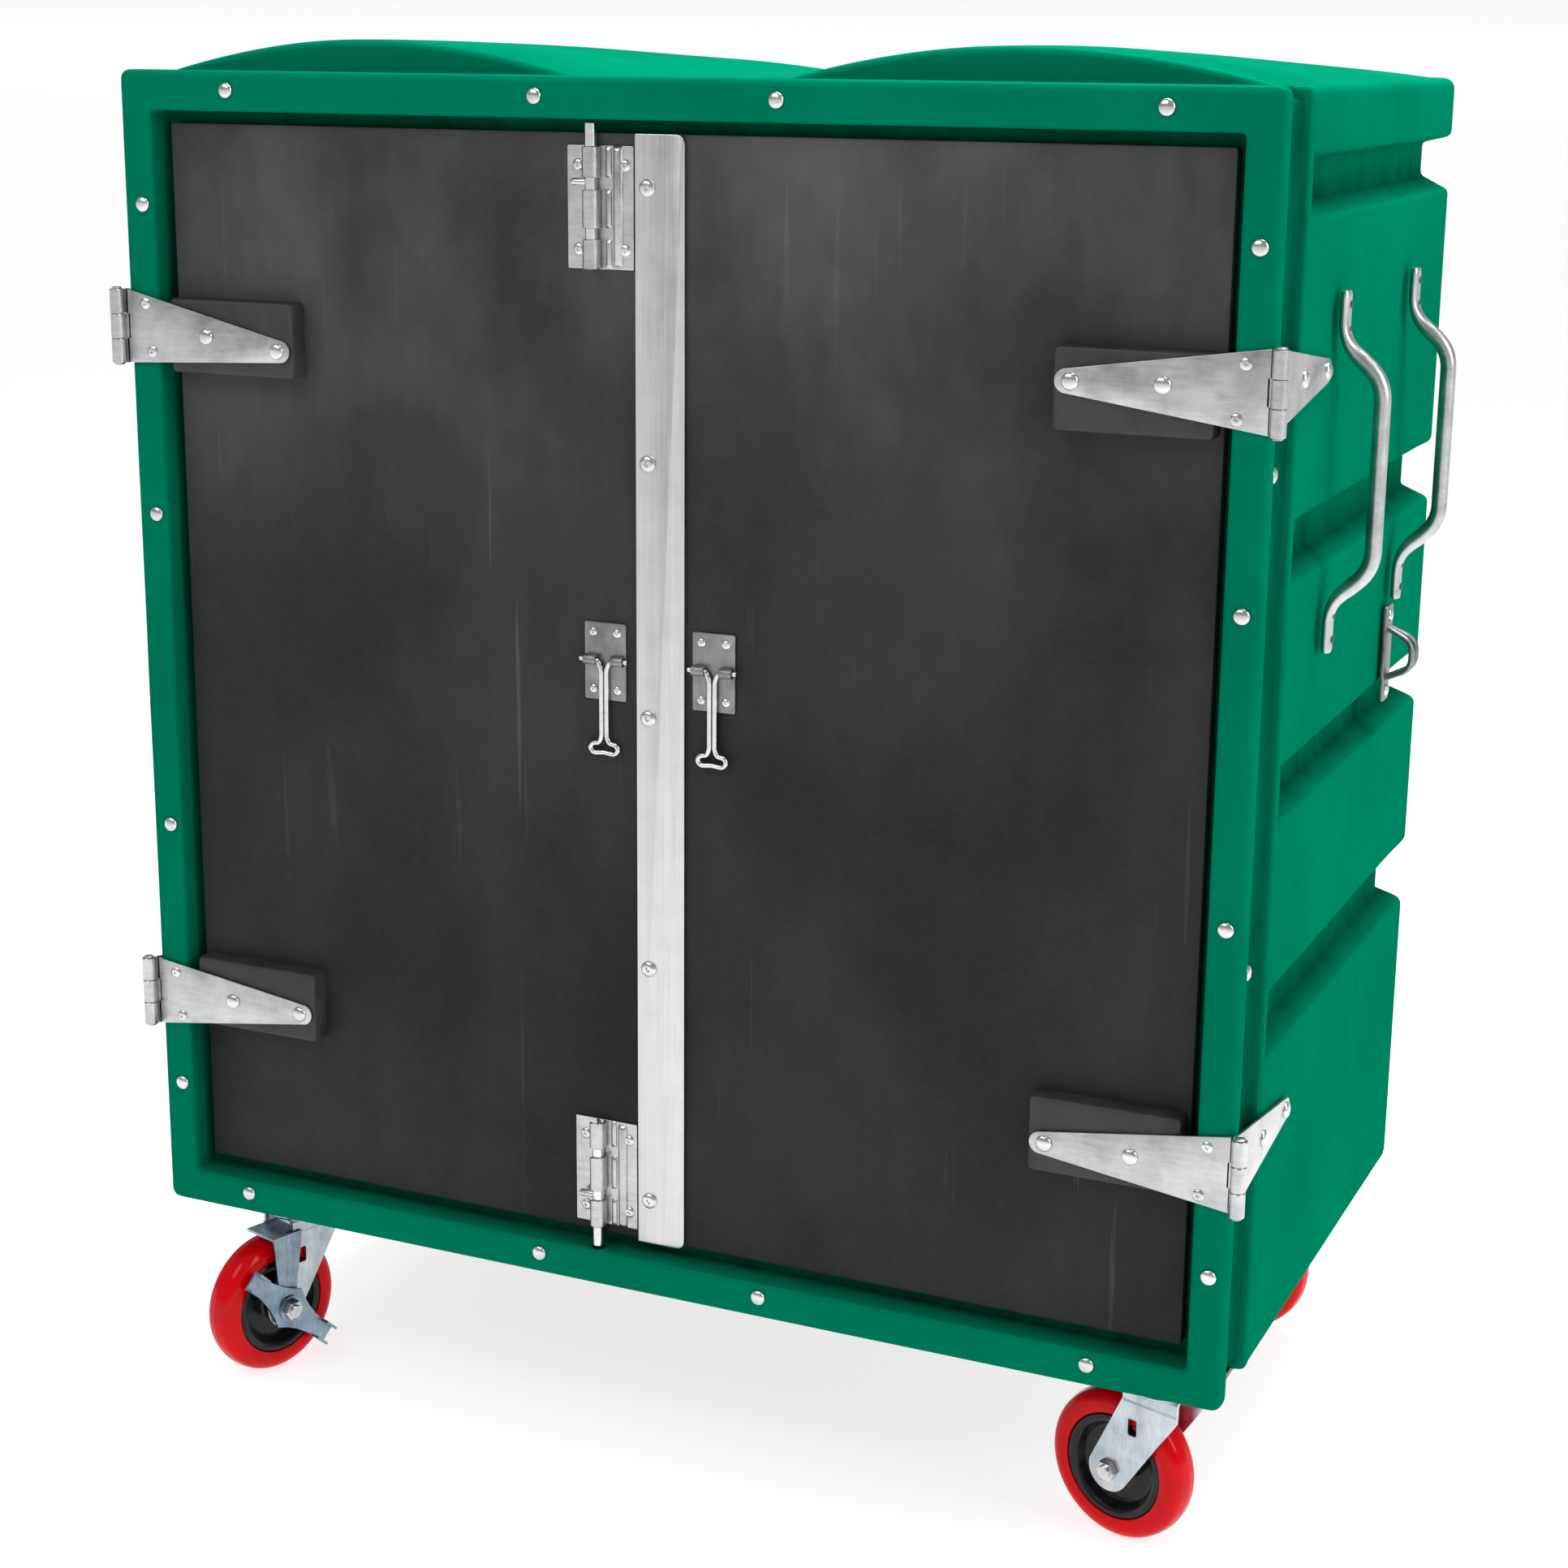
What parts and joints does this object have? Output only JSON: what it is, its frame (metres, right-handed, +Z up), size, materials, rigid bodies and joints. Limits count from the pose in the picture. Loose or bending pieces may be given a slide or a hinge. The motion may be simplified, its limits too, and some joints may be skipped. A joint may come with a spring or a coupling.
{
  "type": "housekeeping cart",
  "caption": "Tall moulded cabinet on swivel casters with hinged front doors, barrel bolts, drop pulls and push handles on one end.",
  "frame": {"origin": "centre of the object's box, on the floor that the wheels stand on", "axes": "+Z up, -Y out of the doors, +X towards the end with the push handles"},
  "size_m": [1.0178, 0.604, 1.17],
  "materials": {
    "moulded_green": "moulded polyethylene with a soft sheen",
    "charcoal_panel": "charcoal polyethylene sheet, lightly scratched",
    "black_plastic": "black polyethylene block",
    "zinc_steel": "zinc plated steel",
    "aluminium_strip": "brushed aluminium",
    "black_steel": "black painted steel",
    "shelf_board": "pale grey polyethylene sheet",
    "red_tyre": "glossy red polyurethane",
    "wheel_core": "glossy black polymer"
  },
  "bodies": {
    "cabinet": {"body_shell": "moulded_green", "base_plate": "black_steel", "door_frame_plate": "black_steel", "upper_shelf": "shelf_board", "lower_shelf": "shelf_board", "front_side_handle": "zinc_steel", "rear_side_handle": "zinc_steel", "side_staple": "zinc_steel", "upper_left_side_leaf": "zinc_steel", "upper_left_hinge_pin": "zinc_steel", "lower_left_side_leaf": "zinc_steel", "lower_left_hinge_pin": "zinc_steel", "upper_right_side_leaf": "zinc_steel", "upper_right_hinge_pin": "zinc_steel", "lower_right_side_leaf": "zinc_steel", "lower_right_hinge_pin": "zinc_steel", "front_left_caster_plate": "zinc_steel", "front_right_caster_plate": "zinc_steel", "rear_left_caster_plate": "zinc_steel", "rear_right_caster_plate": "zinc_steel"},
    "left_door": {"left_door": "charcoal_panel", "centre_strip": "aluminium_strip", "top_bolt_plate": "zinc_steel", "bottom_bolt_plate": "zinc_steel", "left_pull_plate": "zinc_steel", "upper_left_spacer": "black_plastic", "upper_left_door_leaf": "zinc_steel", "lower_left_spacer": "black_plastic", "lower_left_door_leaf": "zinc_steel"},
    "right_door": {"right_door": "charcoal_panel", "right_pull_plate": "zinc_steel", "upper_right_spacer": "black_plastic", "upper_right_door_leaf": "zinc_steel", "lower_right_spacer": "black_plastic", "lower_right_door_leaf": "zinc_steel"},
    "top_bolt": {"top_bolt_rod": "zinc_steel"},
    "bottom_bolt": {"bottom_bolt_rod": "zinc_steel"},
    "left_pull": {"left_pull_wire": "zinc_steel"},
    "right_pull": {"right_pull_wire": "zinc_steel"},
    "front_left_swivel": {"front_left_fork": "zinc_steel", "front_left_axle_bolt": "zinc_steel"},
    "front_left_wheel": {"front_left_tyre": "red_tyre", "front_left_wheel_core": "wheel_core"},
    "front_right_swivel": {"front_right_fork": "zinc_steel", "front_right_axle_bolt": "zinc_steel"},
    "front_right_wheel": {"front_right_tyre": "red_tyre", "front_right_wheel_core": "wheel_core"},
    "rear_left_swivel": {"rear_left_fork": "zinc_steel", "rear_left_axle_bolt": "zinc_steel"},
    "rear_left_wheel": {"rear_left_tyre": "red_tyre", "rear_left_wheel_core": "wheel_core"},
    "rear_right_swivel": {"rear_right_fork": "zinc_steel", "rear_right_axle_bolt": "zinc_steel"},
    "rear_right_wheel": {"rear_right_tyre": "red_tyre", "rear_right_wheel_core": "wheel_core"},
    "brake_pedal": {"brake_pedal": "zinc_steel"},
    "brake_shoe": {"brake_arm": "zinc_steel"}
  },
  "joints": [
    {"name": "left_door_hinge", "type": "hinge", "parent": "cabinet", "child": "left_door", "pos_m": [-0.5029, -0.28437, 0.649], "axis": [0, 0, -1], "range_deg": [0, 250]},
    {"name": "right_door_hinge", "type": "hinge", "parent": "cabinet", "child": "right_door", "pos_m": [0.4729, -0.28437, 0.649], "axis": [0, 0, 1], "range_deg": [0, 250]},
    {"name": "top_bolt_slide", "type": "slide", "parent": "left_door", "child": "top_bolt", "axis": [0, 0, 1], "range_m": [-0.032, 0.011]},
    {"name": "bottom_bolt_slide", "type": "slide", "parent": "left_door", "child": "bottom_bolt", "axis": [0, 0, -1], "range_m": [-0.032, 0.011]},
    {"name": "left_pull_hinge", "type": "hinge", "parent": "left_door", "child": "left_pull", "pos_m": [-0.0625, -0.26507, 0.6945], "axis": [-1, 0, 0], "range_deg": [0, 95]},
    {"name": "right_pull_hinge", "type": "hinge", "parent": "right_door", "child": "right_pull", "pos_m": [0.0325, -0.26507, 0.6945], "axis": [-1, 0, 0], "range_deg": [0, 95]},
    {"name": "front_left_swivel", "type": "hinge", "parent": "cabinet", "child": "front_left_swivel", "pos_m": [-0.4085, -0.20397, 0.15], "axis": [0, 0, 1], "continuous": true},
    {"name": "front_left_wheel_spin", "type": "hinge", "parent": "front_left_swivel", "child": "front_left_wheel", "pos_m": [-0.41993, -0.23916, 0.0635], "axis": [0.9511, -0.309, 0], "continuous": true},
    {"name": "front_right_swivel", "type": "hinge", "parent": "cabinet", "child": "front_right_swivel", "pos_m": [0.4035, -0.20497, 0.15], "axis": [0, 0, 1], "continuous": true},
    {"name": "front_right_wheel_spin", "type": "hinge", "parent": "front_right_swivel", "child": "front_right_wheel", "pos_m": [0.36821, -0.19385, 0.0635], "axis": [-0.3007, -0.9537, 0], "continuous": true},
    {"name": "rear_left_swivel", "type": "hinge", "parent": "cabinet", "child": "rear_left_swivel", "pos_m": [-0.4065, 0.22203, 0.15], "axis": [0, 0, 1], "continuous": true},
    {"name": "rear_left_wheel_spin", "type": "hinge", "parent": "rear_left_swivel", "child": "rear_left_wheel", "pos_m": [-0.44003, 0.20639, 0.0635], "axis": [0.4226, -0.9063, 0], "continuous": true},
    {"name": "rear_right_swivel", "type": "hinge", "parent": "cabinet", "child": "rear_right_swivel", "pos_m": [0.3885, 0.22203, 0.15], "axis": [0, 0, 1], "continuous": true},
    {"name": "rear_right_wheel_spin", "type": "hinge", "parent": "rear_right_swivel", "child": "rear_right_wheel", "pos_m": [0.35164, 0.22525, 0.0635], "axis": [-0.0872, -0.9962, 0], "continuous": true},
    {"name": "brake_pedal_hinge", "type": "hinge", "parent": "front_left_swivel", "child": "brake_pedal", "pos_m": [-0.41993, -0.23916, 0.0635], "axis": [0.9511, -0.309, 0], "range_deg": [0, 15]},
    {"name": "brake_shoe_slide", "type": "slide", "parent": "front_left_swivel", "child": "brake_shoe", "axis": [0, 0, -1], "range_m": [0, 0.0022]}
  ],
  "couplings": [
    {"joint": "right_door_hinge", "follows": "left_door_hinge", "ratio": 1},
    {"joint": "brake_shoe_slide", "follows": "brake_pedal_hinge", "m_per_rad": 0.008403}
  ]
}
